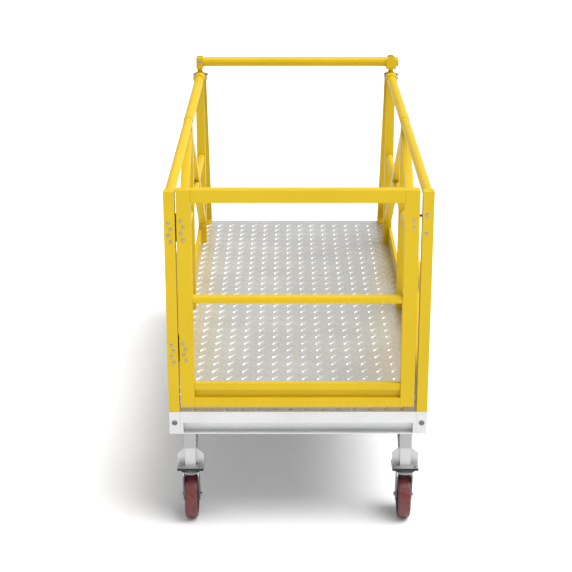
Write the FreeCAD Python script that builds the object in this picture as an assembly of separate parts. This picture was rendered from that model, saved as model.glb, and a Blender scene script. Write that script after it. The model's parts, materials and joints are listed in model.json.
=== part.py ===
import FreeCAD, Part
import math
import os

# Low rolling work platform with guardrails, a self-closing front gate and a
# lift-up rear bar.  All sizes in millimetres.  X runs across the platform,
# Y from the gated front end to the rear end, Z up.  The origin is on the
# floor, under the middle of the deck.

V = FreeCAD.Vector
IN = 25.4
os.makedirs("parts", exist_ok=True)

# Overall sizes
DECK_LENGTH = 120 * IN
DECK_WIDTH = 48 * IN
DECK_HEIGHT = 24 * IN
RAIL_HEIGHT = 42.5 * IN

# Base frame
BEAM_DEPTH = 4.5 * IN
BEAM_WIDTH = 2.0 * IN
BEAM_WALL = 5.0
BAND_HEIGHT = 57.0
BAND_RECESS = 32.0
RECESS_END = 16.0
LIP_HEIGHT = 6.3
PLATE_THICKNESS = 4.8
END_CAP = 6.0
CAP_SCREW_HEAD = 28.0
CAP_SCREW_R = 5.0
JOIST_DEPTH = 4.0 * IN
JOIST_COUNT = 7
JOIST_INSET = 300.0

# Guardrails
POST = 2.0 * IN
TUBE_WALL = 3.0
FRONT_RAIL_D = 1.9 * IN
REAR_RAIL_D = 2.1 * IN
JOINT_SETBACK = 25.0
MID_RAIL_D = 1.66 * IN
MID_RAIL_HEIGHT = 22.0 * IN
MID_POST_SETBACK = 55.0 * IN
REAR_POST_SETBACK = 102.0 * IN
RAIL_END = 30.0
BRACE = 1.75 * IN
BRACE_LOW = 141.0
BRACE_HIGH = 997.0
REAR_BAY_LOW = 165.0
REAR_BRACE_WIDTH = 2.5 * IN
REAR_BRACE_DEPTH = 1.5 * IN
SHOE_LENGTH = 84.0
TOE_HEIGHT = 4.0 * IN
TOE_FLANGE = 0.75 * IN
TOE_WALL = 3.2

# Rear bar and its two fittings
BAR_D = 2.25 * IN
BAR_RISE = 1150.0
BAR_OVERHANG = 45.0
COLLAR_D = 66.0
COLLAR_LENGTH = 130.0
COLLAR_BOSS = 12.0
BRACKET_HALF = 20.0
BAR_TAIL = 17.0
NECK_D = 30.0
CHEEK = 5.0
PIVOT_D = 12.0

# Gate
GATE_GAP_HINGE = 6.0
GATE_GAP_LATCH = 13.0
STILE = 66.0
GATE_TOP = 60.0
GATE_STAND = 6.5
LOW_BAR_DEPTH = 22.0
GATE_CLEAR = 26.0
GATE_BOTTOM = 46.0
KICK_HEIGHT = 38.0
LOW_BAR = 35.0
HINGE_HEIGHTS = (301.0, 893.0)
HINGE_LENGTH = 127.0
HINGE_LEAF = 3.0
BARREL_R = 7.0
HINGE_PIN_R = 4.0
STOP_HEIGHT = 950.0
STOP_PLATE = 3.0
STOP_GAP = 0.3
STOP_ROD_R = 6.0
STRIKER_PLATE = 3.5

# Legs and casters
LEG = 2.25 * IN
KNEE_WIDTH = 2.5 * IN
STUB = 2.0 * IN
LEG_PAD = 0.5 * IN
LEG_BOTTOM = 394.0
CASTER_HEIGHT = 11.5 * IN
BASE_PLATE_X = 5.0 * IN
BASE_PLATE_Y = 4.0 * IN
BASE_PLATE_T = 0.25 * IN
WHEEL_R = 4.5 * IN
WHEEL_WIDTH = 60.0
CORE_R = 96.0
AXLE_R = 6.35
TRAIL = 45.0
FORK_INSIDE = 66.0
FORK_PLATE = 6.35

# Running clearance on radii, and the gap left round clearance-fit fasteners
RUN = 0.06
FIT = 0.4

HALF_WIDTH = DECK_WIDTH / 2
RAIL_X = HALF_WIDTH - POST / 2
POST_INNER = HALF_WIDTH - POST
SIDES = (-1, 1)
RAIL_Z = DECK_HEIGHT + RAIL_HEIGHT - FRONT_RAIL_D / 2
MID_Z = DECK_HEIGHT + MID_RAIL_HEIGHT
MID_Y = MID_POST_SETBACK - POST / 2
REAR_Y = REAR_POST_SETBACK - POST / 2
RAIL_JOINT_Y = MID_Y + POST + JOINT_SETBACK
RAIL_END_Y = REAR_Y + POST + RAIL_END
BAR_Z = DECK_HEIGHT + BAR_RISE
BAR_Y = REAR_Y + POST / 2 + 30.0
LEG_X = POST_INNER - LEG_PAD - LEG / 2
LEG_FRONT_Y = BEAM_WIDTH + LEG / 2
UNDER_PLATE = DECK_HEIGHT - PLATE_THICKNESS


def box(x0, x1, y0, y1, z0, z1):
    """Box between two corners given in any order."""
    size = (abs(x1 - x0), abs(y1 - y0), abs(z1 - z0))
    return Part.makeBox(*size, V(min(x0, x1), min(y0, y1), min(z0, z1)))


def rod(radius, start, direction, length):
    """Solid round bar."""
    return Part.makeCylinder(radius, length, V(*start), V(*direction))


def pipe(radius, wall, start, direction, length):
    """Round tube, open at both ends."""
    outer = rod(radius, start, direction, length)
    return outer.cut(rod(radius - wall, start, direction, length))


def prism_x(points, x0, x1):
    """Profile given as (y, z) points, drawn out along X."""
    wire = Part.makePolygon([V(x0, y, z) for y, z in points + points[:1]])
    return Part.Face(wire).extrude(V(x1 - x0, 0, 0))


def prism_y(points, y0, y1):
    """Profile given as (x, z) points, drawn out along Y."""
    wire = Part.makePolygon([V(x, y0, z) for x, z in points + points[:1]])
    return Part.Face(wire).extrude(V(0, y1 - y0, 0))


def hexagon(across_flats, start, direction, height):
    """Hexagon nut or bolt head standing along X or Y."""
    corner = across_flats / math.sqrt(3)
    turn = [math.radians(60 * k) for k in range(6)]
    ring = [(corner * math.sin(a), corner * math.cos(a)) for a in turn]
    if direction[0]:
        points = [V(start[0], start[1] + a, start[2] + b) for a, b in ring]
    else:
        points = [V(start[0] + a, start[1], start[2] + b) for a, b in ring]
    face = Part.Face(Part.makePolygon(points + points[:1]))
    return face.extrude(V(*direction).multiply(height))


def slanted_bar(x, width, depth, start, end):
    """Solid bar along a line in the Y-Z plane, running past both ends."""
    run = V(0, end[0] - start[0], end[1] - start[1])
    extra = 200.0
    corner = V(-width / 2, -depth / 2, -extra)
    bar = Part.makeBox(width, depth, run.Length + 2 * extra, corner)
    turn = FreeCAD.Rotation(V(1, 0, 0), V(0, 1, 0), run, "ZXY")
    bar.Placement = FreeCAD.Placement(V(x, start[0], start[1]), turn)
    return bar


def slanted_tube(x, width, depth, start, end, wall):
    """Rectangular tube along a line in the Y-Z plane, running past both ends."""
    outer = slanted_bar(x, width, depth, start, end)
    return outer.cut(slanted_bar(x, width - 2 * wall, depth - 2 * wall, start, end))


def drill(shape, tools):
    """Cut every tool out of the shape."""
    for tool in tools:
        shape = shape.cut(tool)
    return shape


def button_bolt(x, z, head_y, grip, radius):
    """Round-headed bolt along Y: head on the outside, nut on the inside."""
    head_r = radius * 1.75
    head_t = radius * 0.9
    head = rod(head_r, (x, head_y - head_t, z), (0, 1, 0), head_t)
    head = head.makeFillet(head_t * 0.6, [head.Edges[2]])
    shank = rod(radius, (x, head_y, z), (0, 1, 0), grip + radius * 2.6)
    nut = hexagon(radius * 3.2, (x, head_y + grip, z), (0, 1, 0), radius * 1.5)
    return head.fuse([shank, nut]).removeSplitter()


def export(name, solids):
    """Write one node, moved so that the origin is under the deck's middle."""
    shape = solids[0] if len(solids) == 1 else Part.makeCompound(solids)
    shape = shape.copy()
    shape.translate(V(0, -DECK_LENGTH / 2, 0))
    shape.exportStep("parts/" + name + ".step")


def mirror_ends(shape):
    """The same piece at the other end of the platform."""
    return shape.mirror(V(0, DECK_LENGTH / 2, 0), V(0, 1, 0))


def mirror_sides(shape):
    """The same piece at the other side of the platform."""
    return shape.mirror(V(0, 0, 0), V(1, 0, 0))


# ---------------------------------------------------------------- base frame
def side_beam(side):
    """Box extrusion under one guardrail, with a step for the plate's edge."""
    x0 = side * POST_INNER
    x1 = side * HALF_WIDTH
    z0 = DECK_HEIGHT - BEAM_DEPTH
    outer = box(x0, x1, END_CAP, DECK_LENGTH - END_CAP, z0, DECK_HEIGHT)
    inner = box(
        x0 + side * BEAM_WALL, x1 - side * BEAM_WALL, 0, DECK_LENGTH,
        z0 + BEAM_WALL, UNDER_PLATE - BEAM_WALL,
    )
    return drill(outer, [inner, edge_strip(side)])


def edge_strip(side):
    """Strip of tread plate let into the beam's top, as far as the toe boards."""
    x1 = side * (HALF_WIDTH - TOE_FLANGE)
    return box(side * POST_INNER, x1, END_CAP, DECK_LENGTH - END_CAP, UNDER_PLATE, DECK_HEIGHT)


def end_beam():
    """Front cross beam: a flush upper band over a recessed web and a lip."""
    top = UNDER_PLATE
    bottom = DECK_HEIGHT - BEAM_DEPTH
    band = DECK_HEIGHT - BAND_HEIGHT
    lip = bottom + LIP_HEIGHT
    wall = BEAM_WALL
    deep = BAND_RECESS
    outline = [
        (0, top), (BEAM_WIDTH, top), (BEAM_WIDTH, bottom), (0, bottom),
        (0, lip), (deep, lip), (deep, band), (0, band),
    ]
    hollow = [
        (wall, top - wall), (BEAM_WIDTH - wall, top - wall),
        (BEAM_WIDTH - wall, bottom + wall), (deep + wall, bottom + wall),
        (deep + wall, band + wall), (wall, band + wall),
    ]
    beam = prism_x(outline, -POST_INNER, POST_INNER)
    beam = beam.cut(prism_x(hollow, -POST_INNER, POST_INNER))
    ends = [
        box(side * POST_INNER, side * (POST_INNER - RECESS_END), 0, deep, lip, band)
        for side in SIDES
    ]
    return beam.fuse(ends).removeSplitter()


def brace_heel(side, room):
    """What stands through the deck plate under a rear brace, or its notch."""
    x0 = side * (HALF_WIDTH - REAR_BRACE_WIDTH - room)
    y0 = DECK_LENGTH - SHOE_LENGTH - room
    return box(x0, side * POST_INNER, y0, DECK_LENGTH, UNDER_PLATE, DECK_HEIGHT)


def joist(y):
    """Channel joist under the deck plate, open towards the rear."""
    y0 = y - BEAM_WIDTH / 2
    y1 = y + BEAM_WIDTH / 2
    z0 = UNDER_PLATE - JOIST_DEPTH
    outer = box(-POST_INNER, POST_INNER, y0, y1, z0, UNDER_PLATE)
    inner = box(
        -POST_INNER, POST_INNER, y0 + BEAM_WALL, y1,
        z0 + BEAM_WALL, UNDER_PLATE - BEAM_WALL,
    )
    return outer.cut(inner)


def cap_screw_body(side):
    """Countersunk head and shank, before the socket is cut."""
    z = DECK_HEIGHT - BEAM_DEPTH / 2
    x = side * RAIL_X
    head = Part.makeCone(CAP_SCREW_HEAD / 2, CAP_SCREW_R, 4.5, V(x, 1.0, z), V(0, 1, 0))
    return head.fuse(rod(CAP_SCREW_R, (x, 5.5, z), (0, 1, 0), 24.0))


def cap_screw(side):
    """Countersunk screw in the middle of a beam's end cap."""
    start = (side * RAIL_X, 0.5, DECK_HEIGHT - BEAM_DEPTH / 2)
    return cap_screw_body(side).cut(hexagon(2 * CAP_SCREW_R, start, (0, 1, 0), 3.0))


def end_cap(side):
    """Flat plate closing a side beam, sunk for its screw."""
    z0 = DECK_HEIGHT - BEAM_DEPTH
    cap = box(side * POST_INNER, side * HALF_WIDTH, 0, END_CAP, z0, DECK_HEIGHT)
    z = DECK_HEIGHT - BEAM_DEPTH / 2
    mouth = rod(CAP_SCREW_HEAD / 2, (side * RAIL_X, 0, z), (0, 1, 0), 1.0)
    return drill(cap, [mouth, cap_screw_body(side)])


end_caps = [end_cap(side) for side in SIDES]
cap_screws = [cap_screw(side) for side in SIDES]
end_caps += [mirror_ends(cap) for cap in end_caps]
cap_screws += [mirror_ends(screw) for screw in cap_screws]
joist_step = (DECK_LENGTH - 2 * JOIST_INSET) / (JOIST_COUNT - 1)
joists = [joist(JOIST_INSET + k * joist_step) for k in range(JOIST_COUNT)]
deck = box(-POST_INNER, POST_INNER, 0, DECK_LENGTH, UNDER_PLATE, DECK_HEIGHT)
deck = drill(deck, [brace_heel(side, FIT) for side in SIDES])

export("side_beam_left", [side_beam(-1)])
export("side_beam_right", [side_beam(1)])
export("front_beam", [end_beam()])
export("rear_beam", [mirror_ends(end_beam())])
export("cross_joists", joists)
export("deck_plate", [deck] + [edge_strip(side) for side in SIDES])
export("beam_end_caps", end_caps)
export("end_cap_screws", cap_screws)


# ----------------------------------------------------------- legs and casters
def leg_tube():
    """Square leg with a thick pad that stands it off the side beam."""
    half = LEG / 2
    outer = box(LEG_X - half, LEG_X + half, LEG_FRONT_Y - half, LEG_FRONT_Y + half, LEG_BOTTOM, UNDER_PLATE)
    wall = (LEG - STUB) / 2
    inner = box(
        LEG_X - half + wall, LEG_X + half - wall,
        LEG_FRONT_Y - half + wall, LEG_FRONT_Y + half - wall, LEG_BOTTOM, UNDER_PLATE,
    )
    pad = box(
        LEG_X + half, POST_INNER, LEG_FRONT_Y - half, LEG_FRONT_Y + half,
        DECK_HEIGHT - BEAM_DEPTH, UNDER_PLATE,
    )
    return outer.cut(inner).fuse(pad)


def leg_foot():
    """Stub that fills the leg, two side gussets and the caster's base plate."""
    half = STUB / 2
    top = CASTER_HEIGHT + BASE_PLATE_T
    stub = box(LEG_X - half, LEG_X + half, LEG_FRONT_Y - half, LEG_FRONT_Y + half, top, LEG_BOTTOM + 80.0)
    bore = half - TUBE_WALL
    stub = stub.cut(
        box(LEG_X - bore, LEG_X + bore, LEG_FRONT_Y - bore, LEG_FRONT_Y + bore, top, LEG_BOTTOM + 80.0)
    )
    plate = box(
        LEG_X - BASE_PLATE_X / 2, LEG_X + BASE_PLATE_X / 2,
        LEG_FRONT_Y - BASE_PLATE_Y / 2, LEG_FRONT_Y + BASE_PLATE_Y / 2, CASTER_HEIGHT, top,
    )
    reach = BASE_PLATE_X / 2
    rise = LEG_BOTTOM - 2.0
    snipe = 14.0
    gussets = []
    for way in SIDES:
        profile = [
            (LEG_X + way * half, rise), (LEG_X + way * reach, rise - 35.0),
            (LEG_X + way * reach, top), (LEG_X + way * (half + snipe + 6.0), top),
            (LEG_X + way * half, top + snipe),
        ]
        gussets.append(prism_y(profile, LEG_FRONT_Y - 4.0, LEG_FRONT_Y + 4.0))
    foot = stub.fuse([plate] + gussets).removeSplitter()
    return drill(foot, plate_bolt_shanks(FIT))


def plate_bolt_places():
    """Centres of the four bolts that hold one caster."""
    dx = BASE_PLATE_X / 2 - 14.0
    dy = BASE_PLATE_Y / 2 - 13.0
    return [(LEG_X + a * dx, LEG_FRONT_Y + b * dy) for a in SIDES for b in SIDES]


def plate_bolt_shanks(extra):
    """Shanks of the caster bolts, or the holes for them."""
    low = CASTER_HEIGHT - BASE_PLATE_T - 12.0
    return [rod(4.75 + extra, (x, y, low), (0, 0, 1), 36.0) for x, y in plate_bolt_places()]


def plate_bolts():
    """The four bolts of one caster: hexagon heads below, nuts above."""
    bolts = []
    for x, y in plate_bolt_places():
        low = CASTER_HEIGHT - BASE_PLATE_T
        high = CASTER_HEIGHT + BASE_PLATE_T
        turn = [math.radians(60 * k) for k in range(6)]
        ring = [(8.2 * math.cos(a), 8.2 * math.sin(a)) for a in turn]
        flats = []
        for z, height in ((low - 5.5, 5.5), (high, 7.0)):
            points = [V(x + a, y + b, z) for a, b in ring]
            flats.append(Part.Face(Part.makePolygon(points + points[:1])).extrude(V(0, 0, height)))
        shank = rod(4.75, (x, y, low), (0, 0, 1), high - low + 10.0)
        bolts.append(shank.fuse(flats))
    return bolts


def knee_brace():
    """Slanted tube from the back of a leg up to the first joist."""
    start = (LEG_FRONT_Y + LEG / 2, LEG_BOTTOM - 24.0)
    end = (JOIST_INSET, UNDER_PLATE - JOIST_DEPTH)
    tube = slanted_tube(LEG_X, KNEE_WIDTH, REAR_BRACE_DEPTH, start, end, TUBE_WALL)
    bay = box(
        LEG_X - LEG, LEG_X + LEG, LEG_FRONT_Y + LEG / 2, DECK_LENGTH / 2,
        CASTER_HEIGHT + BASE_PLATE_T + FIT, UNDER_PLATE - JOIST_DEPTH,
    )
    return tube.common(bay)


PLATE_LOW = CASTER_HEIGHT - BASE_PLATE_T
RACE_LOW = PLATE_LOW - 12.0
CROWN_TOP = RACE_LOW - 0.3
CROWN_LOW = CROWN_TOP - 16.0
KING_R = 9.0


def caster_top():
    """Mounting plate with its raceway and kingpin."""
    centre = (LEG_X, LEG_FRONT_Y)
    plate = box(
        centre[0] - BASE_PLATE_X / 2, centre[0] + BASE_PLATE_X / 2,
        centre[1] - BASE_PLATE_Y / 2, centre[1] + BASE_PLATE_Y / 2, PLATE_LOW, CASTER_HEIGHT,
    )
    race = rod(34.0, (*centre, RACE_LOW), (0, 0, 1), 12.0)
    pin_low = CROWN_LOW - 0.3
    pin = rod(KING_R, (*centre, pin_low), (0, 0, 1), RACE_LOW - pin_low)
    head = rod(KING_R + 7.0, (*centre, pin_low - 8.0), (0, 0, 1), 8.0)
    return drill(plate.fuse([race, pin, head]).removeSplitter(), plate_bolt_shanks(FIT))


def caster_fork():
    """Swivelling fork: a flared crown and two legs down to the axle."""
    x, y = LEG_X, LEG_FRONT_Y
    crown = Part.makeCone(FORK_INSIDE / 2 + FORK_PLATE, 56.0, 16.0, V(x, y, CROWN_LOW), V(0, 0, 1))
    axle_y = y + TRAIL
    low_r = 33.0
    legs = []
    for way in SIDES:
        inner = x + way * FORK_INSIDE / 2
        outer = x + way * (FORK_INSIDE / 2 + FORK_PLATE)
        profile = [
            (y - 34.0, CROWN_TOP - 4.0), (y + 36.0, CROWN_TOP - 4.0),
            (axle_y + low_r, WHEEL_R + 14.0), (axle_y + low_r, WHEEL_R),
            (axle_y - low_r, WHEEL_R),
        ]
        blade = prism_x(profile, inner, outer)
        eye = rod(low_r, (inner, axle_y, WHEEL_R), (way, 0, 0), FORK_PLATE)
        legs.append(blade.fuse(eye))
    fork = crown.fuse(legs).removeSplitter()
    bore = rod(KING_R + RUN, (x, y, CROWN_LOW - 1), (0, 0, 1), 30.0)
    eye_hole = rod(AXLE_R + RUN, (x - 60.0, axle_y, WHEEL_R), (1, 0, 0), 120.0)
    return drill(fork, [bore, eye_hole])


def caster_axle():
    """Axle bolt with its hexagon head and nut."""
    y = LEG_FRONT_Y + TRAIL
    half = FORK_INSIDE / 2 + FORK_PLATE
    shank = rod(AXLE_R, (LEG_X - half - 9.0, y, WHEEL_R), (1, 0, 0), 2 * half + 20.0)
    head = hexagon(19.0, (LEG_X - half, y, WHEEL_R), (-1, 0, 0), 8.0)
    nut = hexagon(19.0, (LEG_X + half, y, WHEEL_R), (1, 0, 0), 9.0)
    return shank.fuse([head, nut]).removeSplitter()


def wheel_core():
    """Wheel centre: hub, web and rim turned as one piece."""
    hub = FORK_INSIDE / 2 - 1.0
    rim = WHEEL_WIDTH / 2 - 3.0
    bore = AXLE_R + RUN
    outline = [
        (bore, -hub), (24.0, -hub), (27.0, -12.0), (78.0, -9.0), (84.0, -rim), (CORE_R, -rim),
        (CORE_R, rim), (84.0, rim), (78.0, 9.0), (27.0, 12.0), (24.0, hub), (bore, hub),
    ]
    y = LEG_FRONT_Y + TRAIL
    points = [V(LEG_X + a, y, WHEEL_R + r) for r, a in outline]
    face = Part.Face(Part.makePolygon(points + points[:1]))
    return face.revolve(V(LEG_X, y, WHEEL_R), V(1, 0, 0), 360)


def tyre():
    """Moulded tread with rounded shoulders."""
    y = LEG_FRONT_Y + TRAIL
    half = WHEEL_WIDTH / 2
    body = rod(WHEEL_R, (LEG_X - half, y, WHEEL_R), (1, 0, 0), WHEEL_WIDTH)
    edges = [e for e in body.Edges if e.Closed and abs(e.BoundBox.XLength) < 1e-6]
    body = body.makeFillet(10.0, edges)
    return body.cut(rod(CORE_R, (LEG_X - half, y, WHEEL_R), (1, 0, 0), WHEEL_WIDTH))


def four_corners(shape):
    """One piece at the front right, copied to all four corners, mirrored."""
    right = [shape, mirror_ends(shape)]
    return [mirror_sides(piece) for piece in right] + right


def at_corner(shape, side, rear):
    """One caster piece at a corner, with the wheel trailing inwards."""
    moved = mirror_ends(shape) if rear else shape.copy()
    moved.translate(V((side - 1) * LEG_X, 0, 0))
    return moved


export("leg_tubes", four_corners(leg_tube()))
export("leg_feet", four_corners(leg_foot()))
export("leg_knee_braces", four_corners(knee_brace()))
export("caster_top_plates", four_corners(caster_top()))
export("caster_plate_bolts", [b for bolt in plate_bolts() for b in four_corners(bolt)])
for side, across in ((-1, "left"), (1, "right")):
    for rear, along in ((False, "front"), (True, "rear")):
        corner = along + "_" + across
        export("caster_fork_" + corner, [at_corner(caster_fork(), side, rear)])
        export("caster_axle_" + corner, [at_corner(caster_axle(), side, rear)])
        export("wheel_core_" + corner, [at_corner(wheel_core(), side, rear)])
        export("wheel_tyre_" + corner, [at_corner(tyre(), side, rear)])


# ---------------------------------------------------------------- guardrails
def hinge_bolt_places():
    """(x, z) of the bolts through the post and through the stile."""
    on_post, on_stile = [], []
    for centre in HINGE_HEIGHTS:
        for k in range(4):
            z = DECK_HEIGHT + centre + (1.5 - k) * 29.5
            step = 5.0 if k % 2 else -5.0
            on_post.append((-RAIL_X - 0.5 + step, z - 5.5))
            on_stile.append((-RAIL_X + 56.0 + step, z + 4.0))
    return on_post, on_stile


POST_BOLT_R = 4.0
STOP_BOLTS = ((RAIL_X - 5.0, STOP_HEIGHT + 20.5), (RAIL_X - 5.0, STOP_HEIGHT - 67.0))
STRIKER_SCREWS = ((RAIL_X - 64.5, STOP_HEIGHT - 3.0), (RAIL_X - 64.5, STOP_HEIGHT - 40.0))
HINGE_POST_BOLTS, HINGE_GATE_BOLTS = hinge_bolt_places()


def hole_y(x, z, radius=POST_BOLT_R + FIT):
    """Hole right through along Y near the front end."""
    return rod(radius, (x, -20.0, z), (0, 1, 0), 120.0)


def square_post(side, y0, z1, wall=TUBE_WALL):
    """Upright square tube standing on the side beam, capped at the top."""
    x0 = side * POST_INNER
    x1 = side * HALF_WIDTH
    outer = box(x0, x1, y0, y0 + POST, DECK_HEIGHT, z1)
    inner = box(
        x0 + side * wall, x1 - side * wall, y0 + wall, y0 + POST - wall,
        DECK_HEIGHT, z1 - wall,
    )
    return outer.cut(inner)


def front_post(side):
    """Gate post, drilled for what is bolted to it."""
    post = square_post(side, 0, DECK_HEIGHT + RAIL_HEIGHT)
    if side < 0:
        return drill(post, [hole_y(x, z) for x, z in HINGE_POST_BOLTS])
    return drill(post, [hole_y(x, DECK_HEIGHT + z) for x, z in STOP_BOLTS])


def front_rail(side):
    """Top rail from the gate post to the middle post."""
    start = (side * RAIL_X, POST, RAIL_Z)
    return pipe(FRONT_RAIL_D / 2, TUBE_WALL, start, (0, 1, 0), RAIL_JOINT_Y - POST)


def rear_rail(side):
    """Slightly thicker top rail from the middle post to the rear end."""
    start = (side * RAIL_X, RAIL_JOINT_Y, RAIL_Z)
    rail = pipe(REAR_RAIL_D / 2, TUBE_WALL, start, (0, 1, 0), RAIL_END_Y - RAIL_JOINT_Y)
    return drill(rail, collar_bolt_holes(side))


def collar_bolt_places():
    """(y, z) of the two bolts across each collar: under the neck, over the post."""
    return ((BAR_Y, RAIL_Z + 15.0), (REAR_Y + POST / 2, RAIL_Z))


def collar_bolt_holes(side):
    """Holes across a collar and the rail end inside it."""
    x = side * RAIL_X
    return [rod(6.0 + FIT, (x - 60.0, y, z), (1, 0, 0), 120.0) for y, z in collar_bolt_places()]


def rail_collar(side):
    """Cup that closes the rear end of a top rail."""
    x = side * RAIL_X
    y1 = RAIL_END_Y + 6.0
    start = (x, y1 - COLLAR_LENGTH, RAIL_Z)
    cup = rod(COLLAR_D / 2, start, (0, 1, 0), COLLAR_LENGTH)
    reach = COLLAR_D / 2
    for y, z in collar_bolt_places():
        cup = cup.fuse(rod(COLLAR_BOSS, (x - reach, y, z), (1, 0, 0), 2 * reach))
    cup = cup.cut(rod(REAR_RAIL_D / 2, start, (0, 1, 0), COLLAR_LENGTH - 6.0))
    return drill(cup, collar_bolt_holes(side))


def collar_bolts(side):
    """Two hexagon bolts across a collar."""
    x = side * RAIL_X
    bolts = []
    for (y, z), long in zip(collar_bolt_places(), (18.0, 11.0)):
        reach = COLLAR_D / 2
        shank = rod(6.0, (x - reach - 6.0, y, z), (1, 0, 0), 2 * reach + 6.0 + long)
        ends = [
            hexagon(19.0, (x - reach, y, z), (-1, 0, 0), 7.5),
            hexagon(19.0, (x + reach, y, z), (1, 0, 0), 9.0),
        ]
        bolts.append(shank.fuse(ends).removeSplitter())
    return bolts


def mid_post(side):
    """Middle upright, coped under the top rail."""
    post = square_post(side, MID_Y, RAIL_Z, TUBE_WALL)
    span = rod(FRONT_RAIL_D / 2 + FIT, (side * RAIL_X, POST, RAIL_Z), (0, 1, 0), DECK_LENGTH / 2)
    return post.cut(span)


def rear_post(side):
    """Rear upright, coped under the rail's collar."""
    post = square_post(side, REAR_Y, RAIL_Z, TUBE_WALL)
    return post.cut(rod(COLLAR_D / 2, (side * RAIL_X, 0, RAIL_Z), (0, 1, 0), DECK_LENGTH))


def bays():
    """The two braced bays of a guardrail: ends in Y and the brace's line."""
    low = DECK_HEIGHT + BRACE_LOW
    high = DECK_HEIGHT + BRACE_HIGH
    front = (POST, MID_Y, (POST, low), (MID_Y, high))
    rear = (MID_Y + POST, REAR_Y, (MID_Y + POST, high), (REAR_Y, DECK_HEIGHT + REAR_BAY_LOW))
    return front, rear


def bay_brace(side, bay):
    """Diagonal tube that fills one bay, cut flush with the uprights."""
    y0, y1, start, end = bay
    tube = slanted_tube(side * RAIL_X, BRACE, BRACE, start, end, TUBE_WALL)
    return tube.common(box(-HALF_WIDTH, HALF_WIDTH, y0, y1, 0, RAIL_Z - REAR_RAIL_D / 2))


def rear_brace_line():
    """The two ends of the rear brace's middle line."""
    start = (REAR_Y + POST - 6.0, DECK_HEIGHT + RAIL_HEIGHT - 60.0)
    end = (DECK_LENGTH - REAR_BRACE_DEPTH / 2 - 4.0, DECK_HEIGHT)
    return start, end


def rear_brace(side):
    """Wide diagonal from the top of the rear post to the deck's rear corner."""
    x = side * (HALF_WIDTH - REAR_BRACE_WIDTH / 2)
    wall = TUBE_WALL
    line = rear_brace_line()
    top = RAIL_Z - 12.0
    bay = box(-HALF_WIDTH, HALF_WIDTH, REAR_Y + POST, DECK_LENGTH, DECK_HEIGHT, top)
    room = box(-HALF_WIDTH, HALF_WIDTH, REAR_Y + POST + wall, DECK_LENGTH, DECK_HEIGHT, top - wall)
    bore = slanted_bar(x, REAR_BRACE_WIDTH - 2 * wall, REAR_BRACE_DEPTH - 2 * wall, *line)
    collar = rod(COLLAR_D / 2 + 0.3, (side * RAIL_X, 0, RAIL_Z), (0, 1, 0), DECK_LENGTH)
    tube = slanted_bar(x, REAR_BRACE_WIDTH, REAR_BRACE_DEPTH, *line).common(bay)
    tube = drill(tube, [bore.common(room), collar])
    shoe_y = DECK_LENGTH - SHOE_LENGTH
    shoe = prism_x(
        [
            (shoe_y, DECK_HEIGHT), (DECK_LENGTH, DECK_HEIGHT), (DECK_LENGTH, DECK_HEIGHT + 8.0),
            (DECK_LENGTH - 40.0, DECK_HEIGHT + 62.0), (shoe_y + 10.0, DECK_HEIGHT + 8.0),
            (shoe_y, DECK_HEIGHT + 8.0),
        ],
        x - REAR_BRACE_WIDTH / 2, x + REAR_BRACE_WIDTH / 2,
    )
    return tube.fuse([shoe, brace_heel(side, 0)]).removeSplitter()


def mid_rails(side):
    """Round mid rails, cut where the diagonals cross them."""
    x = side * RAIL_X
    pieces = []
    for y0, y1, start, end in bays():
        rail = pipe(MID_RAIL_D / 2, TUBE_WALL, (x, y0, MID_Z), (0, 1, 0), y1 - y0)
        pieces += rail.cut(slanted_bar(x, BRACE, BRACE, start, end)).Solids
    return pieces


def toe_boards(side):
    """Channel toe boards between the uprights, open to the outside."""
    inner = side * (HALF_WIDTH - TOE_FLANGE)
    outer = side * HALF_WIDTH
    z0 = DECK_HEIGHT
    z1 = DECK_HEIGHT + TOE_HEIGHT
    ends = ((POST, MID_Y), (MID_Y + POST, REAR_Y), (REAR_Y + POST, DECK_LENGTH - SHOE_LENGTH - 4.0))
    room = REAR_BRACE_DEPTH + 2 * FIT
    brace = slanted_bar(side * HALF_WIDTH, 2 * REAR_BRACE_WIDTH, room, *rear_brace_line())
    boards = []
    for y0, y1 in ends:
        channel = box(inner, outer, y0, y1, z0, z1)
        hollow = box(inner + side * TOE_WALL, outer, y0, y1, z0 + TOE_WALL, z1 - TOE_WALL)
        pieces = drill(channel, [hollow, brace]).Solids
        boards.append(min(pieces, key=lambda piece: piece.BoundBox.YMin))
    return boards


export("hinge_post", [front_post(-1)])
export("stop_post", [front_post(1)])
export("middle_posts", [mid_post(side) for side in SIDES])
export("rear_posts", [rear_post(side) for side in SIDES])
export("front_top_rails", [front_rail(side) for side in SIDES])
export("rear_top_rails", [rear_rail(side) for side in SIDES])
export("mid_rails", [piece for side in SIDES for piece in mid_rails(side)])
export("front_braces", [bay_brace(side, bays()[0]) for side in SIDES])
export("middle_braces", [bay_brace(side, bays()[1]) for side in SIDES])
export("rear_braces", [rear_brace(side) for side in SIDES])
export("toe_boards", [board for side in SIDES for board in toe_boards(side)])
export("rail_collars", [rail_collar(side) for side in SIDES])
export("collar_bolts", [bolt for side in SIDES for bolt in collar_bolts(side)])


# ------------------------------------------------------------------ rear bar
BASE_TOP = BAR_Z - 34.5
BASE_LOW = BASE_TOP - 6.0
CHEEK_IN = BAR_D / 2 + 1.0


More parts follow.
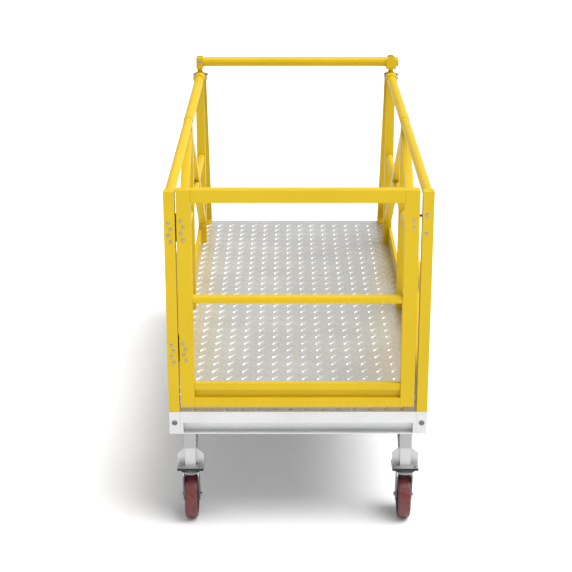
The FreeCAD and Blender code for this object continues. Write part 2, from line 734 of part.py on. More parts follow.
def fitting_base(x, half, top):
    """Neck, base plate and two upright cheeks of a rear bar fitting."""
    neck = rod(NECK_D / 2, (x, BAR_Y, RAIL_Z), (0, 0, 1), BASE_LOW - RAIL_Z)
    neck = neck.cut(rod(COLLAR_D / 2, (x, 0, RAIL_Z), (0, 1, 0), DECK_LENGTH))
    reach = CHEEK_IN + CHEEK
    base = box(x - half, x + half, BAR_Y - reach, BAR_Y + reach, BASE_LOW, BASE_TOP)
    pieces = [base]
    for way in SIDES:
        y0 = BAR_Y + way * CHEEK_IN
        y1 = BAR_Y + way * reach
        pieces.append(box(x - half, x + half, y0, y1, BASE_TOP, top))
    return neck, pieces


def pivot_bracket():
    """Fork that holds the pivot end of the rear bar."""
    x = -RAIL_X
    neck, pieces = fitting_base(x, BRACKET_HALF, BAR_Z + BAR_D / 2)
    body = neck.fuse(pieces).removeSplitter()
    return body.cut(rod(PIVOT_D / 2 + RUN, (x, 0, BAR_Z), (0, 1, 0), DECK_LENGTH))


def cradle():
    """Open-topped fork that the free end of the rear bar drops into."""
    half = 30.5
    shoulder = BAR_Z + 5.5
    neck, pieces = fitting_base(RAIL_X, half, shoulder)
    for way in SIDES:
        start = (RAIL_X, BAR_Y + way * CHEEK_IN, shoulder)
        pieces.append(rod(half, start, (0, way, 0), CHEEK))
    seat = BAR_Z - BAR_D / 2 - 0.3
    pieces.append(box(RAIL_X - half, RAIL_X + half, BAR_Y - CHEEK_IN, BAR_Y + CHEEK_IN, BASE_TOP, seat))
    return neck.fuse(pieces).removeSplitter()


def pivot_bolt():
    """Bolt through the bracket's cheeks and the bar."""
    reach = CHEEK_IN + CHEEK
    y0 = BAR_Y - reach
    shank = rod(PIVOT_D / 2, (-RAIL_X, y0, BAR_Z), (0, 1, 0), 2 * reach + 14.0)
    head = hexagon(19.0, (-RAIL_X, y0, BAR_Z), (0, -1, 0), 7.5)
    nut = hexagon(19.0, (-RAIL_X, BAR_Y + reach, BAR_Z), (0, 1, 0), 10.0)
    return shank.fuse([head, nut]).removeSplitter()


def rear_bar():
    """Round lift-up bar with vented end discs and a pivot bush."""
    x0 = -RAIL_X - BAR_TAIL
    x1 = RAIL_X + BAR_OVERHANG
    tube = pipe(BAR_D / 2, TUBE_WALL, (x0, BAR_Y, BAR_Z), (1, 0, 0), x1 - x0)
    disc_r = BAR_D / 2 - TUBE_WALL
    discs = [rod(disc_r, (x, BAR_Y, BAR_Z), (1, 0, 0), TUBE_WALL) for x in (x0, x1 - TUBE_WALL)]
    bush = rod(PIVOT_D / 2 + 4.0, (-RAIL_X, BAR_Y - disc_r, BAR_Z), (0, 1, 0), 2 * disc_r)
    bar = tube.fuse(discs + [bush]).removeSplitter()
    bore = rod(PIVOT_D / 2 + RUN, (-RAIL_X, BAR_Y - 40.0, BAR_Z), (0, 1, 0), 80.0)
    vent = rod(4.0, (x0 - 1.0, BAR_Y, BAR_Z + 14.0), (1, 0, 0), x1 - x0 + 2.0)
    return drill(bar, [bore, vent.cut(rod(12.0, (-RAIL_X, BAR_Y - 40.0, BAR_Z), (0, 1, 0), 80.0))])


export("bar_pivot_bracket", [pivot_bracket()])
export("bar_cradle", [cradle()])
export("bar_pivot_bolt", [pivot_bolt()])
export("rear_bar", [rear_bar()])


# ---------------------------------------------------------------------- gate
GATE_LEFT = -POST_INNER + GATE_GAP_HINGE
GATE_RIGHT = POST_INNER - GATE_GAP_LATCH
GATE_LOW = DECK_HEIGHT + GATE_CLEAR
GATE_HIGH = DECK_HEIGHT + RAIL_HEIGHT + GATE_STAND
BARREL_X = -POST_INNER + GATE_GAP_HINGE / 2
BARREL_Y = POST + BARREL_R + 0.2
LEAF_BACK = POST + HINGE_LEAF
STOP_Z = DECK_HEIGHT + STOP_HEIGHT
STOP_BACK = POST + STOP_PLATE
STRIKER_BACK = POST + STRIKER_PLATE


def stile(x0, x1, places):
    """Upright of the gate, capped at both ends and drilled for its bolts."""
    wall = TUBE_WALL
    outer = box(x0, x1, 0, POST, GATE_LOW, GATE_HIGH)
    inner = box(x0 + wall, x1 - wall, wall, POST - wall, GATE_LOW + wall, GATE_HIGH - wall)
    return drill(outer.cut(inner), [hole_y(x, z) for x, z in places])


def gate_bar(z0, z1, y0, y1):
    """Rectangular tube between the two stiles."""
    x0 = GATE_LEFT + STILE
    x1 = GATE_RIGHT - STILE
    wall = TUBE_WALL
    inner = box(x0, x1, y0 + wall, y1 - wall, z0 + wall, z1 - wall)
    return box(x0, x1, y0, y1, z0, z1).cut(inner)


def hinge_leaf(way, centre, places):
    """Leaf and knuckles: the post's has three knuckles, the gate's has two."""
    count = 5
    pitch = HINGE_LENGTH / count
    z0 = DECK_HEIGHT + centre - HINGE_LENGTH / 2
    own = [k for k in range(count) if (k % 2 == 0) == (way < 0)]
    near = BARREL_X + way * (BARREL_R + 0.6)
    far = BARREL_X + way * 46.0
    parts = [box(near, far, POST, LEAF_BACK, z0, z0 + HINGE_LENGTH)]
    for k in own:
        low = z0 + k * pitch + 0.2
        high = z0 + (k + 1) * pitch - 0.2
        parts.append(rod(BARREL_R, (BARREL_X, BARREL_Y, low), (0, 0, 1), high - low))
        parts.append(box(BARREL_X + way * 2.0, near, POST + 0.2, LEAF_BACK, low, high))
    leaf = parts[0].fuse(parts[1:]).removeSplitter()
    bore = rod(HINGE_PIN_R + RUN, (BARREL_X, BARREL_Y, z0 - 5.0), (0, 0, 1), HINGE_LENGTH + 10.0)
    near_places = [p for p in places if abs(p[1] - DECK_HEIGHT - centre) < HINGE_LENGTH / 2]
    return drill(leaf, [bore] + [hole_y(x, z) for x, z in near_places])


def hinge_pin(centre):
    """Pin with a button at each end."""
    z0 = DECK_HEIGHT + centre - HINGE_LENGTH / 2
    pin = rod(HINGE_PIN_R, (BARREL_X, BARREL_Y, z0 - 3.0), (0, 0, 1), HINGE_LENGTH + 6.0)
    ends = [rod(6.0, (BARREL_X, BARREL_Y, z), (0, 0, 1), 3.0) for z in (z0 - 3.0, z0 + HINGE_LENGTH)]
    return pin.fuse(ends).removeSplitter()


def striker():
    """Plate and rod on the gate that meet the stop when the gate closes."""
    x0 = GATE_RIGHT - STILE + 6.0
    plate = box(x0, GATE_RIGHT - 4.0, POST, STRIKER_BACK, STOP_Z - 62.0, STOP_Z + 20.0)
    rod_y = STOP_BACK + STOP_GAP + STOP_ROD_R
    x1 = GATE_RIGHT - 14.0
    bar = rod(STOP_ROD_R, (x1, rod_y, STOP_Z), (1, 0, 0), RAIL_X + 16.0 - x1)
    return drill(plate.fuse(bar), [hole_y(x, DECK_HEIGHT + z) for x, z in STRIKER_SCREWS])


def stop_bracket():
    """Plate on the stop post with two lugs that guide the striker rod."""
    x0 = POST_INNER + 3.0
    x1 = HALF_WIDTH - 3.0
    pieces = []
    for way in SIDES:
        z0 = STOP_Z + way * (STOP_ROD_R + 2.0)
        pieces.append(box(x0, x1, STOP_BACK, STOP_BACK + 20.0, z0, z0 + way * 4.0))
    plate = box(x0, x1, POST, STOP_BACK, STOP_Z - 85.0, STOP_Z + 36.0)
    bracket = plate.fuse(pieces).removeSplitter()
    return drill(bracket, [hole_y(x, DECK_HEIGHT + z) for x, z in STOP_BOLTS])


def low_bolt(x, z, grip):
    """Flat-headed bolt sunk almost flush in the gate's face."""
    head = rod(7.0, (x, -1.2, z), (0, 1, 0), 1.2)
    shank = rod(POST_BOLT_R, (x, -0.4, z), (0, 1, 0), grip + 7.0)
    nut = hexagon(12.8, (x, grip, z), (0, 1, 0), 5.5)
    return head.fuse([shank, nut]).removeSplitter()


post_bolts = [button_bolt(x, z, 0, LEAF_BACK, POST_BOLT_R) for x, z in HINGE_POST_BOLTS]
post_bolts += [button_bolt(x, DECK_HEIGHT + z, 0, STOP_BACK, POST_BOLT_R) for x, z in STOP_BOLTS]
gate_bolts = [button_bolt(x, z, 0, LEAF_BACK, POST_BOLT_R) for x, z in HINGE_GATE_BOLTS]
gate_bolts += [low_bolt(x, DECK_HEIGHT + z, STRIKER_BACK) for x, z in STRIKER_SCREWS]
striker_places = [(x, DECK_HEIGHT + z) for x, z in STRIKER_SCREWS]
kick_low = GATE_LOW + GATE_BOTTOM
low_bar_z = kick_low + KICK_HEIGHT
gate_mid = pipe(
    MID_RAIL_D / 2, TUBE_WALL, (GATE_LEFT + STILE, POST / 2, MID_Z), (1, 0, 0),
    GATE_RIGHT - GATE_LEFT - 2 * STILE,
)

export("gate_hinge_stile", [stile(GATE_LEFT, GATE_LEFT + STILE, HINGE_GATE_BOLTS)])
export("gate_stop_stile", [stile(GATE_RIGHT - STILE, GATE_RIGHT, striker_places)])
export("gate_top_rail", [gate_bar(GATE_HIGH - GATE_TOP, GATE_HIGH, 0, POST)])
export("gate_mid_rail", [gate_mid])
export("gate_low_rail", [gate_bar(low_bar_z, low_bar_z + LOW_BAR, 6.0, 6.0 + LOW_BAR_DEPTH)])
export("gate_kick_plate", [box(GATE_LEFT + STILE, GATE_RIGHT - STILE, 20.0, 24.0, kick_low, low_bar_z)])
export("gate_bottom_rail", [gate_bar(GATE_LOW, kick_low, 0, POST)])
export("hinge_leaves_post", [hinge_leaf(-1, z, HINGE_POST_BOLTS) for z in HINGE_HEIGHTS])
export("hinge_leaves_gate", [hinge_leaf(1, z, HINGE_GATE_BOLTS) for z in HINGE_HEIGHTS])
export("hinge_pins", [hinge_pin(z) for z in HINGE_HEIGHTS])
export("post_bolts", post_bolts)
export("gate_bolts", gate_bolts)
export("gate_striker", [striker()])
export("stop_bracket", [stop_bracket()])
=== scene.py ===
# %% [markdown]
# # A rolling work platform in aluminium and yellow powder coat
# The platform is a tread-plate deck on four casters, with yellow guardrails down both sides,
# a self-closing gate at the front and a lift-up bar at the rear. The load-carrying pieces come
# ready made as a fixed frame, in metres, so this lesson gives them soft edges, raised tread
# and finishes.

# %% Load the frame
import bpy
import bmesh
import json
import math
from mathutils import Matrix, Vector


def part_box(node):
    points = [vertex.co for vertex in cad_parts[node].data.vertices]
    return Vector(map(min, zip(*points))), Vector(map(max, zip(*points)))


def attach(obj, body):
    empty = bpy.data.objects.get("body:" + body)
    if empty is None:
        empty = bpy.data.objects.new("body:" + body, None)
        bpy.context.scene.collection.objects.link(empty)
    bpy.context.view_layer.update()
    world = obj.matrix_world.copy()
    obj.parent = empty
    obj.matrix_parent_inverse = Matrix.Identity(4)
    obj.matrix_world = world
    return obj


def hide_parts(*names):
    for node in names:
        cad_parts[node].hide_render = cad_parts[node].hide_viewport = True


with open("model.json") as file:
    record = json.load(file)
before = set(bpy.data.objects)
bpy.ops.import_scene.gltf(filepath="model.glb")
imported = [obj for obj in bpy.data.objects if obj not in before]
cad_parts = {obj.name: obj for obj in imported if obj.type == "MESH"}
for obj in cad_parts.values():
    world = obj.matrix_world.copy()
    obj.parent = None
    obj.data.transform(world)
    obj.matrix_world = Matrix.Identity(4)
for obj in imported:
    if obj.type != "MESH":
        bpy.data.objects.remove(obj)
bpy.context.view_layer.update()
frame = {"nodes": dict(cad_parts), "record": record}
nodes = frame["nodes"]
bodies = frame["record"]["behaviour"]["bodies"]
body_of_node = {node: body for body, members in bodies.items() for node in members}
slot_of_node = {part["node"]: part["material_slot"] for part in frame["record"]["subparts"]}
print("pieces in the frame:", len(nodes), "bodies:", len(bodies))

# %% [markdown]
# The camera stands in front of the gate, a little left of the middle and well above the deck,
# and looks down by about twenty degrees. A long lens keeps the uprights nearly parallel. It
# could be aimed with a tracking constraint, but plain numbers stay put when the model changes.

# %% The camera
LENS = 93.97
EYE_PLACE = (-0.0573, -7.9565, 3.5454)
LOOK_DOWN = 19.71

eye = bpy.data.objects.new("camera", bpy.data.cameras.new("camera"))
eye.data.sensor_width = 36
eye.data.lens = LENS
eye.location = EYE_PLACE
eye.rotation_euler = (math.radians(90 - LOOK_DOWN), 0, 0)
bpy.context.scene.collection.objects.link(eye)
bpy.context.scene.camera = eye
print("camera height:", eye.location.z)

# %% [markdown]
# A finish is a small network of shader nodes. Written out link by link it is hard to read, so
# two small helpers keep it short. `Tone` wraps one output of a node and lets it be added and
# multiplied like a number. `Finish` owns a material, and its `node` method makes any other
# node: its type, its settings, then what goes into its sockets.


# %% Two helpers for finishes
class Tone:
    """One number or colour coming out of a shader node."""

    def __init__(self, finish, socket):
        self.finish = finish
        self.socket = socket

    def combine(self, operation, other):
        return self.finish.node("ShaderNodeMath", {"operation": operation}, {0: self, 1: other})

    def __add__(self, other):
        return self.combine("ADD", other)

    def __mul__(self, other):
        return self.combine("MULTIPLY", other)

    __radd__ = __add__
    __rmul__ = __mul__


class Finish:
    """A material under construction."""

    def __init__(self, name):
        self.material = bpy.data.materials.new(name)
        self.material.use_nodes = True
        self.tree = self.material.node_tree
        self.shader = self.tree.nodes["Principled BSDF"]
        self.place = self.node("ShaderNodeTexCoord", {}, {}, "Object")

    def feed(self, socket, value):
        if isinstance(value, Tone):
            self.tree.links.new(value.socket, socket)
        else:
            socket.default_value = value

    def node(self, kind, settings, sockets, out=0):
        made = self.tree.nodes.new(kind)
        for name, value in settings.items():
            setattr(made, name, value)
        for key, value in sockets.items():
            self.feed(made.inputs[key], value)
        return Tone(self, made.outputs[out])

    def grain(self, scale, detail=3.0, stretch=(1, 1, 1)):
        """Cloudy noise; stretch squeezes it along each axis."""
        place = self.node("ShaderNodeMapping", {}, {"Vector": self.place, "Scale": stretch})
        sockets = {"Vector": place, "Scale": scale, "Detail": detail}
        return self.node("ShaderNodeTexNoise", {}, sockets)

    def ramp(self, value, low, high):
        """Turns values between low and high into 0 to 1, and holds the rest at the ends."""
        sockets = {"Value": value, "From Min": low, "From Max": high}
        return self.node("ShaderNodeMapRange", {"clamp": True}, sockets)

    def above(self, level, fade=0.0004):
        """Goes from 0 to 1 over a short fade at a height above the floor, in metres."""
        height = self.node("ShaderNodeSeparateXYZ", {}, {0: self.place}, 2)
        return self.ramp(height, level, level + fade)

    def blend(self, share, first, second):
        """A colour that goes from first to second as share goes from 0 to 1."""
        sockets = {0: share, 6: first, 7: second}
        return self.node("ShaderNodeMix", {"data_type": "RGBA"}, sockets, 2)

    def dress(self, colour, roughness, metallic=0.0, relief=None, depth=0.0, **fixed):
        """Joins everything to the shader; the skin is relief times depth high, in metres."""
        self.feed(self.shader.inputs["Base Color"], colour)
        self.feed(self.shader.inputs["Roughness"], roughness)
        self.feed(self.shader.inputs["Metallic"], metallic)
        for name, value in fixed.items():
            self.feed(self.shader.inputs[name.replace("_", " ")], value)
        if relief is not None:
            sockets = {"Height": relief, "Distance": depth, "Strength": 1.0}
            self.feed(self.shader.inputs["Normal"], self.node("ShaderNodeBump", {}, sockets))
        return self.material


def solid(colour, strength=1.0):
    """A colour times a strength, with the fourth number that a shader socket wants."""
    return (*(strength * part for part in colour), 1)


print("helpers ready:", Tone.__name__, Finish.__name__)

# %% [markdown]
# Powder coat is paint that was baked on as dust. It is even in colour, satin rather than
# glossy, and up close it has a faint orange-peel skin about a millimetre across. An image
# could carry the peel, but noise on the object's own coordinates stays at its real scale on
# every tube. A slow drift between two near yellows stops large faces from looking flat.

# %% Yellow powder coat
coat = Finish("yellow_powder_coat")
drift = coat.ramp(coat.grain(2.2), 0.3, 0.7)
yellow = coat.blend(drift, solid((0.62, 0.425, 0.003)), solid((0.67, 0.455, 0.004)))
rubbed = coat.ramp(coat.grain(24.0, 6.0), 0.62, 0.75)
peel = coat.grain(950.0, 2.0)
yellow_coat = coat.dress(
    yellow, 0.46 + rubbed * 0.12, relief=peel, depth=0.00012, Specular_IOR_Level=0.28,
)
print("made", yellow_coat.name)

# %% [markdown]
# Extruded aluminium comes out of its die with fine lines along its length. The lines are noise
# squeezed hard across the profile and left long along it, and they move both the roughness and
# a very shallow relief. The side beams run front to back, the end beams and joists run across
# and the legs run up, so each direction gets a finish of its own from one recipe.

# %% Extruded aluminium
SQUEEZE = 40


def drawn_alloy(name, stretch, colour, metallic=0.55, rough=0.38):
    alloy = Finish(name)
    lines = alloy.grain(60.0, 4.0, stretch)
    cloud = alloy.ramp(alloy.grain(5.0, 4.0), 0.35, 0.7)
    tone = alloy.blend(cloud, solid(colour), solid(colour, 0.9))
    return alloy.dress(tone, rough + lines * 0.14, metallic, relief=lines, depth=0.00008)


pale = (0.66, 0.665, 0.67)
alloy_lengthwise = drawn_alloy("pale_alloy_lengthwise", (SQUEEZE, 1, SQUEEZE), pale)
alloy_across = drawn_alloy("pale_alloy_across", (1, SQUEEZE, SQUEEZE), pale)
# The legs get a darker grey than the frame: painted shade for the shadow under the deck.
leg_grey_painted_shade = (0.42, 0.425, 0.43)
leg_alloy_painted_shade = drawn_alloy("leg_alloy_painted_shade", (SQUEEZE, SQUEEZE, 1), leg_grey_painted_shade, 0.7, 0.36)
print("made", alloy_lengthwise.name, alloy_across.name, leg_alloy_painted_shade.name)

# %% [markdown]
# Tread plate is rolled bright. The tops of its bars are painted paler than the flat, a painted
# highlight for the glint on their slopes and partly the polish that boots give them. They are
# told apart by height, which needs no second material. The flat scuffs in every direction, with
# fine scratches and slow patches where it was walked on.

# %% Bright tread plate
BAR_HIGHLIGHT_LEVEL = 0.6100

plate = Finish("bright_tread_plate")
scratch = plate.grain(180.0, 6.0, (1, 0.35, 1))
walked = plate.ramp(plate.grain(3.5, 3.0), 0.35, 0.65)
silver = plate.blend(walked, solid((0.63, 0.635, 0.63)), solid((0.69, 0.695, 0.69)))
# bars above this level are paler: painted highlight, and partly polish
polish_and_painted_highlight = plate.blend(plate.above(BAR_HIGHLIGHT_LEVEL), silver, solid((0.74, 0.745, 0.74)))
worn_gloss = 0.27 + walked * 0.05 + scratch * 0.05
tread_finish = plate.dress(polish_and_painted_highlight, worn_gloss, 0.62, relief=scratch, depth=0.00003)
print("made", tread_finish.name)

# %% [markdown]
# The bolts are zinc plated, a grey metal with a faint mottle from the plating bath, and the
# screws of the end caps are a duller steel. The hinges are black, the gate's strike rod and
# its bracket are oiled dark steel, and the wheel centres are dark cast iron with a sandy skin.
# One recipe covers them, because they differ only in colour, polish, skin and mottle.


# %% Small metals
def plated(name, colour, rough, metallic, mottle, depth):
    """A mottled metal, with a skin six times finer than the mottle and depth metres deep."""
    metal = Finish(name)
    patch = metal.ramp(metal.grain(mottle, 4.0), 0.35, 0.65)
    tone = metal.blend(patch, solid(colour), solid(colour, 0.72))
    skin = metal.grain(mottle * 6.0, 3.0)
    return metal.dress(tone, rough + patch * 0.12, metallic, relief=skin, depth=depth)


# the numbers are colour, roughness, metallic, scale of the mottle and depth of the skin
bolt_zinc = plated("bolt_zinc", (0.38, 0.38, 0.44), 0.26, 0.9, 160.0, 0.00005)
black_steel = plated("black_hinge_steel", (0.035, 0.03, 0.025), 0.42, 0.3, 120.0, 0.0001)
rod_steel = plated("dark_rod_steel", (0.16, 0.15, 0.13), 0.35, 0.8, 120.0, 0.0001)
cast_iron = plated("cast_wheel_iron", (0.10, 0.095, 0.095), 0.5, 0.5, 140.0, 0.0003)
screw_steel = plated("dull_screw_steel", (0.20, 0.20, 0.21), 0.34, 0.85, 160.0, 0.00005)
for metal in (bolt_zinc, black_steel, rod_steel, cast_iron, screw_steel):
    print("made", metal.name)

# %% [markdown]
# The feet and casters change finish at a clean level. The foot plate's edge and the caster's
# own plate are painted black, painted shade for the dark gap between them, and the race and the
# fork's crown are bright zinc. The fork's legs below the crown are darker, painted shade under
# the platform that fades in over about a centimetre. A blend at a height does that inside one
# piece.

# %% Metals in two bands
FOOT_PLATE_TOP = 0.2981
CASTER_PLATE_UNDERSIDE = 0.2854
FORK_CROWN_UNDERSIDE = 0.240


def banded(name, low, high, level, fade=0.0004):
    """One colour below a height and another above it."""
    metal = Finish(name)
    patch = metal.ramp(metal.grain(90.0, 4.0), 0.35, 0.65)
    tone = metal.blend(metal.above(level, fade), solid(low), solid(high))
    skin = metal.grain(500.0, 3.0)
    return metal.dress(tone, 0.38 + patch * 0.1, 0.7, relief=skin, depth=0.00008)


# painted shade for the gap between the foot plate and the caster plate
plate_gap_shade = (0.03, 0.03, 0.032)
foot_grey = (0.55, 0.555, 0.56)
bright_zinc = (0.62, 0.63, 0.64)
# the fork legs' darker zinc is painted shade under the platform
fork_leg_shade_zinc = (0.17, 0.17, 0.175)
foot_alloy = banded("foot_alloy_shaded_plate_edge", plate_gap_shade, foot_grey, FOOT_PLATE_TOP, 0.0002)
pad_steel = banded("pad_painted_shade_over_zinc", bright_zinc, plate_gap_shade, CASTER_PLATE_UNDERSIDE)
fork_zinc = banded(
    "fork_zinc_shaded_legs", fork_leg_shade_zinc, bright_zinc, FORK_CROWN_UNDERSIDE, 0.012,
)
print("made", foot_alloy.name, pad_steel.name, fork_zinc.name)

# %% [markdown]
# The wheels have a tread of dark red polyurethane, cast round the iron centre. It is a satin
# plastic that picks up grey dust and fine scuffs as it rolls, so dust is blended over the red
# where a coarse noise is high.

# %% Red polyurethane tread
rubber = Finish("red_polyurethane")
dusty = rubber.ramp(rubber.grain(55.0, 6.0), 0.5, 0.8)
red = rubber.blend(dusty * 0.5, solid((0.135, 0.022, 0.024)), solid((0.21, 0.115, 0.105)))
scuff = rubber.grain(420.0, 4.0)
red_tread = rubber.dress(red, 0.38 + dusty * 0.2, relief=scuff, depth=0.0002, IOR=1.49)
print("made", red_tread.name)

# %% [markdown]
# The part list names a slot for each piece, and each slot gets one of these finishes. A few
# pieces differ from the rest of their slot: extrusions that run across, the feet and plates
# in two bands, and the dull screws. They are listed by name and looked up first.

# %% Which finish goes where
finish_of_slot = {
    "yellow_coat": yellow_coat,
    "frame_alloy": alloy_lengthwise,
    "leg_metal": leg_alloy_painted_shade,
    "tread_plate": tread_finish,
    "caster_zinc": fork_zinc,
    "zinc_fasteners": bolt_zinc,
    "black_hinge": black_steel,
    "dark_steel": rod_steel,
    "wheel_core_iron": cast_iron,
    "polyurethane_tread": red_tread,
}
finish_of_node = {
    "front_beam": alloy_across,
    "rear_beam": alloy_across,
    "cross_joists": alloy_across,
    "leg_feet": foot_alloy,
    "caster_top_plates": pad_steel,
    "end_cap_screws": screw_steel,
}
print("slots:", len(finish_of_slot), "pieces apart:", len(finish_of_node))

# %% [markdown]
# Real edges are never razor sharp: square tube has rounded corners, and cut plate has its burr
# taken off. The frame's pieces have sharp edges, so each visible piece is a copy, and all but
# the deck plate get a small bevel. The copy is merged and its flat areas joined first, because
# the frame's meshes are loose triangles. Only edges over a chosen length are bevelled, so the
# rims of small holes stay crisp. Shading then splits at sharp edges and follows the larger
# faces.

# %% Copies with soft edges
MERGE_DISTANCE = 1e-6
FLAT_WITHIN = math.radians(0.5)
BEVEL_OVER = math.radians(35)
CREASE_OVER = math.radians(38)


def clean_copy(node):
    """The node's own shape, merged, with its flat areas joined."""
    mesh = bmesh.new()
    mesh.from_mesh(nodes[node].data)
    bmesh.ops.remove_doubles(mesh, verts=mesh.verts, dist=MERGE_DISTANCE)
    bmesh.ops.dissolve_limit(
        mesh, angle_limit=FLAT_WITHIN, verts=mesh.verts, edges=mesh.edges,
    )
    return mesh


def soften(mesh, radius, shortest, segments):
    """Bevels the sharp edges that are long enough."""
    sharp = [
        edge for edge in mesh.edges
        if len(edge.link_faces) == 2 and edge.calc_length() > shortest
        and edge.calc_face_angle() > BEVEL_OVER
    ]
    bmesh.ops.bevel(
        mesh, geom=sharp, offset=radius, segments=segments, profile=0.5,
        affect="EDGES", material=-1, clamp_overlap=True,
    )


def show(node, mesh):
    """Makes the visible piece that stands for one node of the frame."""
    name = node + "_look"
    shape = bpy.data.meshes.new(name)
    mesh.to_mesh(shape)
    mesh.free()
    shape.shade_smooth()
    shape.set_sharp_from_angle(angle=CREASE_OVER)
    piece = bpy.data.objects.new(name, shape)
    bpy.context.scene.collection.objects.link(piece)
    finish = finish_of_node.get(node, finish_of_slot[slot_of_node[node]])
    piece.data.materials.append(finish)
    piece.modifiers.new("even shading", "WEIGHTED_NORMAL").keep_sharp = True
    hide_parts(node)
    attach(piece, body_of_node[node])


def show_soft(names, radius, shortest, segments):
    """Shows several nodes with edges of one radius; lengths are in metres."""
    for node in names:
        mesh = clean_copy(node)
        soften(mesh, radius, shortest, segments)
        show(node, mesh)


print("bevel helpers ready")

# %% [markdown]
# The deck is a plate with raised bars. On real tread plate the bars lean left and right in
# turn, half a step apart both ways. One bar is a ring of eight corners, stretched long and
# thin, drawn up to a smaller crown and turned, so its flanks slope and its top is a narrow
# flat. Copies could come from an array modifier, but the two leanings are offset, so a loop
# makes each bar in its place. A bar has only ten faces, because there are about a thousand.
# The last row leaves out its two outer bars, where the shoes of the rear braces stand.

# %% The tread plate
STEP_ACROSS = 0.075
STEP_ALONG = 0.0939
FIRST_ROW = 0.034
ROWS = 32
COLUMNS = 16
BAR_HALF_LENGTH = 0.028
BAR_HALF_WIDTH = 0.0085
BAR_RISE = 0.0042
BAR_SINK = 0.0002
CROWN_SHARE = (0.86, 0.30, 1)
LEAN = math.radians(57)
deck_low, deck_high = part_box("deck_plate")


def tread_bar(mesh, x, y, lean):
    """One raised bar: a stretched ring drawn up to a smaller crown."""
    ring = bmesh.ops.create_circle(mesh, segments=8, radius=1.0, cap_ends=True)["verts"]
    bmesh.ops.scale(mesh, vec=(BAR_HALF_LENGTH, BAR_HALF_WIDTH, 1), verts=ring)
    drawn = bmesh.ops.extrude_face_region(mesh, geom=[ring[0].link_faces[0]])["geom"]
    crown = [item for item in drawn if isinstance(item, bmesh.types.BMVert)]
    bmesh.ops.translate(mesh, vec=(0, 0, BAR_RISE), verts=crown)
    bmesh.ops.scale(mesh, vec=CROWN_SHARE, verts=crown)
    whole = ring + crown
    turn = Matrix.Rotation(lean, 3, "Z")
    bmesh.ops.rotate(mesh, cent=(0, 0, 0), matrix=turn, verts=whole)
    bmesh.ops.translate(mesh, vec=(x, y, deck_high.z - BAR_SINK), verts=whole)


deck = clean_copy("deck_plate")
bars = 0
for row in range(ROWS):
    y = deck_low.y + FIRST_ROW + row * STEP_ALONG
    for column in range(COLUMNS):
        x = (column - (COLUMNS - 1) / 2) * STEP_ACROSS
        tread_bar(deck, x, y, LEAN)
        bars += 1
    for column in range(COLUMNS - 1):
        if row == ROWS - 1 and column in (0, COLUMNS - 2):
            continue
        x = (column - (COLUMNS - 2) / 2) * STEP_ACROSS
        tread_bar(deck, x, y + STEP_ALONG / 2, -LEAN)
        bars += 1
bmesh.ops.recalc_face_normals(deck, faces=deck.faces)
show("deck_plate", deck)
print("raised bars:", bars)

# %% [markdown]
# Square and rectangular tube and plate follow, each with the corner radius that its section
# really has: about three millimetres on the guardrail tube, a little less on the gate and the
# legs, and a millimetre on thin plate.

# %% Beams, legs and guardrails
beams = ("side_beam_left", "side_beam_right", "front_beam", "rear_beam", "cross_joists")
guardrail_tubes = (
    "hinge_post", "stop_post", "middle_posts", "rear_posts", "front_braces", "middle_braces",
)
gate_tubes = (
    "gate_hinge_stile", "gate_stop_stile", "gate_top_rail", "gate_bottom_rail",
    "gate_low_rail",
)
leg_and_rear_tubes = ("rear_braces", "leg_tubes", "leg_knee_braces")
plates = ("toe_boards", "gate_kick_plate", "leg_feet", "beam_end_caps", "caster_top_plates")
show_soft(beams, radius=0.0016, shortest=0.004, segments=2)
show_soft(guardrail_tubes, radius=0.0028, shortest=0.012, segments=3)
show_soft(gate_tubes, radius=0.0022, shortest=0.012, segments=3)
show_soft(leg_and_rear_tubes, radius=0.0024, shortest=0.012, segments=2)
show_soft(plates, radius=0.001, shortest=0.004, segments=2)
print("beams:", len(beams), "plates:", len(plates))

# %% [markdown]
# Round tubes and the rear bar keep their exact sections. Only their end rims gain from a
# bevel, and those are made of short edges, so these pieces take a tiny one on every sharp
# edge. The rails' fittings get just under a millimetre, and bolts and hinges about half.

# %% Round tubes, fittings and fasteners
round_tubes = ("front_top_rails", "rear_top_rails", "mid_rails", "gate_mid_rail", "rear_bar")
fittings = (
    "rail_collars", "bar_pivot_bracket", "bar_cradle", "stop_bracket", "gate_striker",
)
hinges_and_pins = (
    "hinge_leaves_post", "hinge_leaves_gate", "hinge_pins", "end_cap_screws",
    "bar_pivot_bolt",
)
bolts = ("collar_bolts", "post_bolts", "gate_bolts", "caster_plate_bolts")
show_soft(round_tubes, radius=0.0006, shortest=0.0, segments=1)
show_soft(fittings, radius=0.0008, shortest=0.002, segments=2)
show_soft(hinges_and_pins, radius=0.0004, shortest=0.001, segments=2)
show_soft(bolts, radius=0.0005, shortest=0.002, segments=2)
print("round tubes:", len(round_tubes), "fittings:", len(fittings))

# %% [markdown]
# The casters are heavy pressed, cast and moulded pieces, so their edges are rounder than the
# bolts'. The wheel's centre and tread are round, and like the tubes they take a bevel on
# every sharp edge, however short.

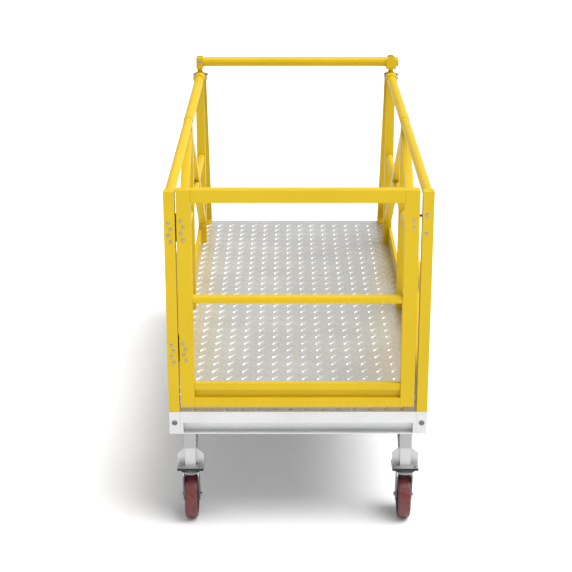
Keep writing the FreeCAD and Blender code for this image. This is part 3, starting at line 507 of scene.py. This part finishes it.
# %% Casters
for corner in ("front_left", "front_right", "rear_left", "rear_right"):
    show_soft(["caster_fork_" + corner], radius=0.0012, shortest=0.003, segments=2)
    show_soft(["caster_axle_" + corner], radius=0.0008, shortest=0.003, segments=2)
    show_soft(["wheel_core_" + corner], radius=0.0012, shortest=0.0, segments=2)
    show_soft(["wheel_tyre_" + corner], radius=0.0008, shortest=0.0, segments=1)
    print("caster done:", corner)

# %% [markdown]
# The platform stands on a plain pale floor that fills the view. The key is a sun lamp with a
# very wide disc, above and to the right, so the tops are bright and the shadow falls softly to
# the left. A weak area lamp lifts the front, and the surroundings are bright all round, as in
# a white studio.

# %% Floor and light
FLOOR_REACH = 60
KEY_DIRECTION = (-0.46, 0.10, -1.0)
FILL_PLACE = (-1.5, -9.0, 4.0)
FILL_DIRECTION = (1.5, 9.0, -3.2)

floor_mesh = bmesh.new()
bmesh.ops.create_grid(floor_mesh, x_segments=1, y_segments=1, size=FLOOR_REACH)
floor_shape = bpy.data.meshes.new("floor")
floor_mesh.to_mesh(floor_shape)
floor_mesh.free()
floor = bpy.data.objects.new("floor", floor_shape)
bpy.context.scene.collection.objects.link(floor)
ground = Finish("pale_floor")
floor.data.materials.append(
    ground.dress(solid((0.94, 0.94, 0.94)), 0.9, Specular_IOR_Level=0.0)
)


def add_lamp(name, kind, energy, direction):
    """A lamp that shines along a direction."""
    lamp = bpy.data.objects.new(name, bpy.data.lights.new(name, kind))
    lamp.data.energy = energy
    lamp.rotation_euler = Vector(direction).to_track_quat("-Z", "Y").to_euler()
    bpy.context.scene.collection.objects.link(lamp)
    return lamp


key = add_lamp("key", "SUN", energy=3.75, direction=KEY_DIRECTION)
key.data.angle = math.radians(56)
fill = add_lamp("front_fill", "AREA", energy=25, direction=FILL_DIRECTION)
fill.data.shape = "DISK"
fill.data.size = 4.0
fill.location = FILL_PLACE

world = bpy.data.worlds.new("studio")
world.use_nodes = True
surroundings = world.node_tree.nodes["Background"].inputs
surroundings["Color"].default_value = (1, 1, 1, 1)
surroundings["Strength"].default_value = 0.5
bpy.context.scene.world = world
bpy.context.scene.view_settings.view_transform = "Standard"
print("lamps and floor ready")

# %% [markdown]
# The last step updates the scene.

# %% Finish
bpy.context.view_layer.update()
